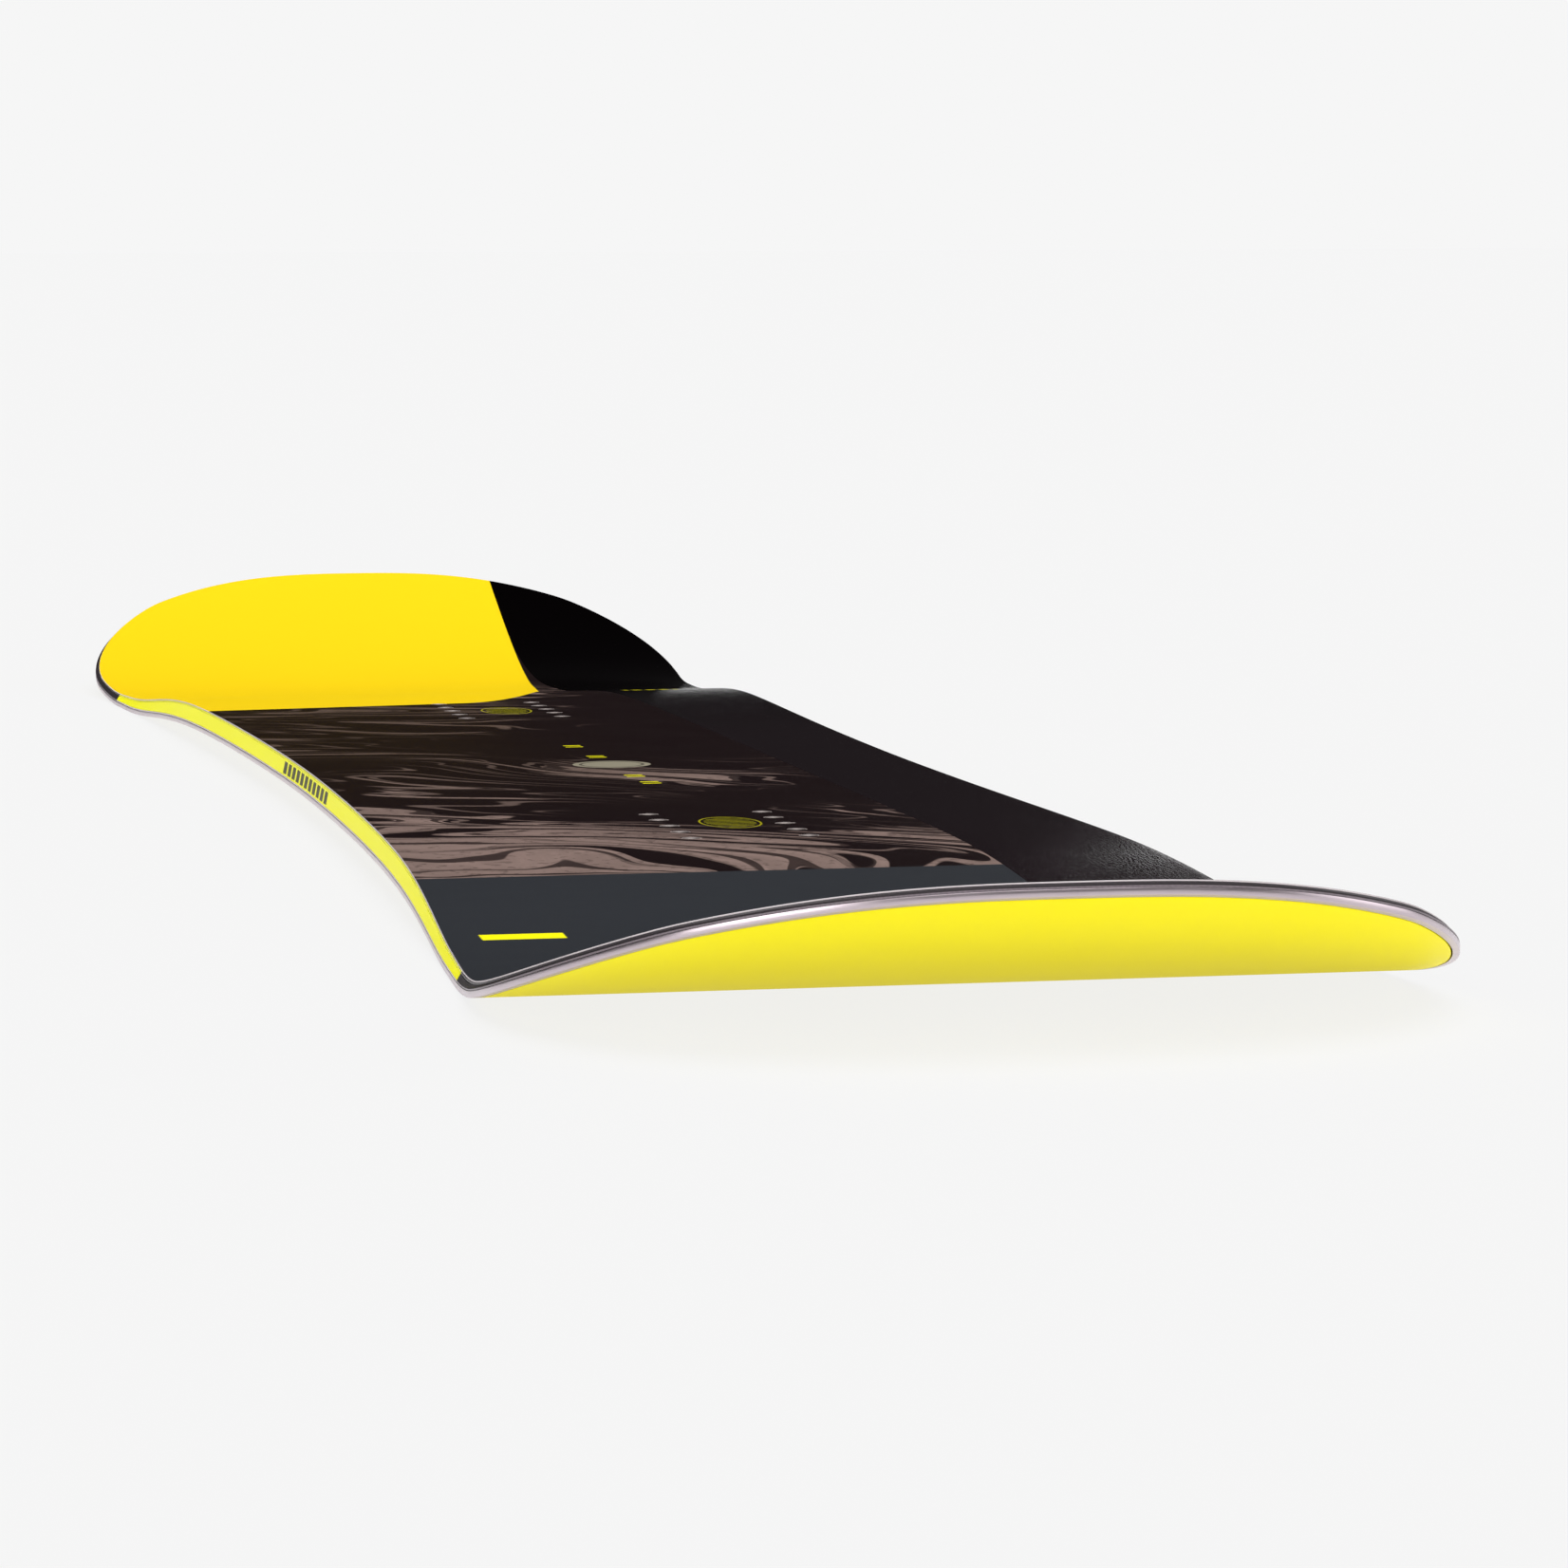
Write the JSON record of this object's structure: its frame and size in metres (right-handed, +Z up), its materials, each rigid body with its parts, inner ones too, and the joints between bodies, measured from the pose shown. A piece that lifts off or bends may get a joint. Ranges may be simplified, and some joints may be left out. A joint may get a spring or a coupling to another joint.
{
  "type": "snowboard",
  "caption": "Twin-tip snowboard: wood-core sandwich with steel-edged base, plastic sidewalls, camber, upturned tips and threaded binding inserts.",
  "frame": {"origin": "on the ground, under the middle of the board, at the height of the two contact faces of the base", "axes": "+X along the board towards the nose, which is the near tip in the picture; +Y across it to the black-banded side; +Z up, out of the deck"},
  "size_m": [1.4634, 0.2776, 0.0489],
  "materials": {
    "base": "fluorescent yellow sintered polyethylene, fine stone-ground structure, waxed",
    "edge_steel": "bare hardened steel, ground along its length",
    "edge_rubber": "matt black foil",
    "glass_laminate": "woven glass in clear epoxy",
    "core_light_wood": "planed light hardwood strip, grain along the board",
    "core_dark_wood": "planed darker hardwood strip, grain along the board",
    "sidewall_abs": "fluorescent lemon ABS, planed to an angle and sanded",
    "spacer_abs": "black ABS, sanded at the rim",
    "topsheet": "clear gloss sheet, printed on its underside with marbling, plain blocks and bands",
    "insert_steel": "turned stainless steel, threaded bore"
  },
  "bodies": {
    "root": {"base_sheet": "base", "steel_edge_left": "edge_steel", "steel_edge_right": "edge_steel", "edge_foil_left": "edge_rubber", "edge_foil_right": "edge_rubber", "bottom_laminate": "glass_laminate", "core_strip_centre": "core_light_wood", "core_strip_left_1": "core_dark_wood", "core_strip_left_2": "core_light_wood", "core_strip_left_3": "core_dark_wood", "core_strip_left_4": "core_light_wood", "core_strip_right_1": "core_dark_wood", "core_strip_right_2": "core_light_wood", "core_strip_right_3": "core_dark_wood", "core_strip_right_4": "core_light_wood", "sidewall_left": "sidewall_abs", "sidewall_right": "sidewall_abs", "tip_spacer_nose": "spacer_abs", "tip_spacer_tail": "spacer_abs", "top_laminate": "glass_laminate", "topsheet": "topsheet", "insert_front_left_1": "insert_steel", "insert_front_left_2": "insert_steel", "insert_front_left_3": "insert_steel", "insert_front_left_4": "insert_steel", "insert_front_left_5": "insert_steel", "insert_front_right_1": "insert_steel", "insert_front_right_2": "insert_steel", "insert_front_right_3": "insert_steel", "insert_front_right_4": "insert_steel", "insert_front_right_5": "insert_steel", "insert_rear_left_1": "insert_steel", "insert_rear_left_2": "insert_steel", "insert_rear_left_3": "insert_steel", "insert_rear_left_4": "insert_steel", "insert_rear_left_5": "insert_steel", "insert_rear_right_1": "insert_steel", "insert_rear_right_2": "insert_steel", "insert_rear_right_3": "insert_steel", "insert_rear_right_4": "insert_steel", "insert_rear_right_5": "insert_steel"}
  },
  "joints": []
}
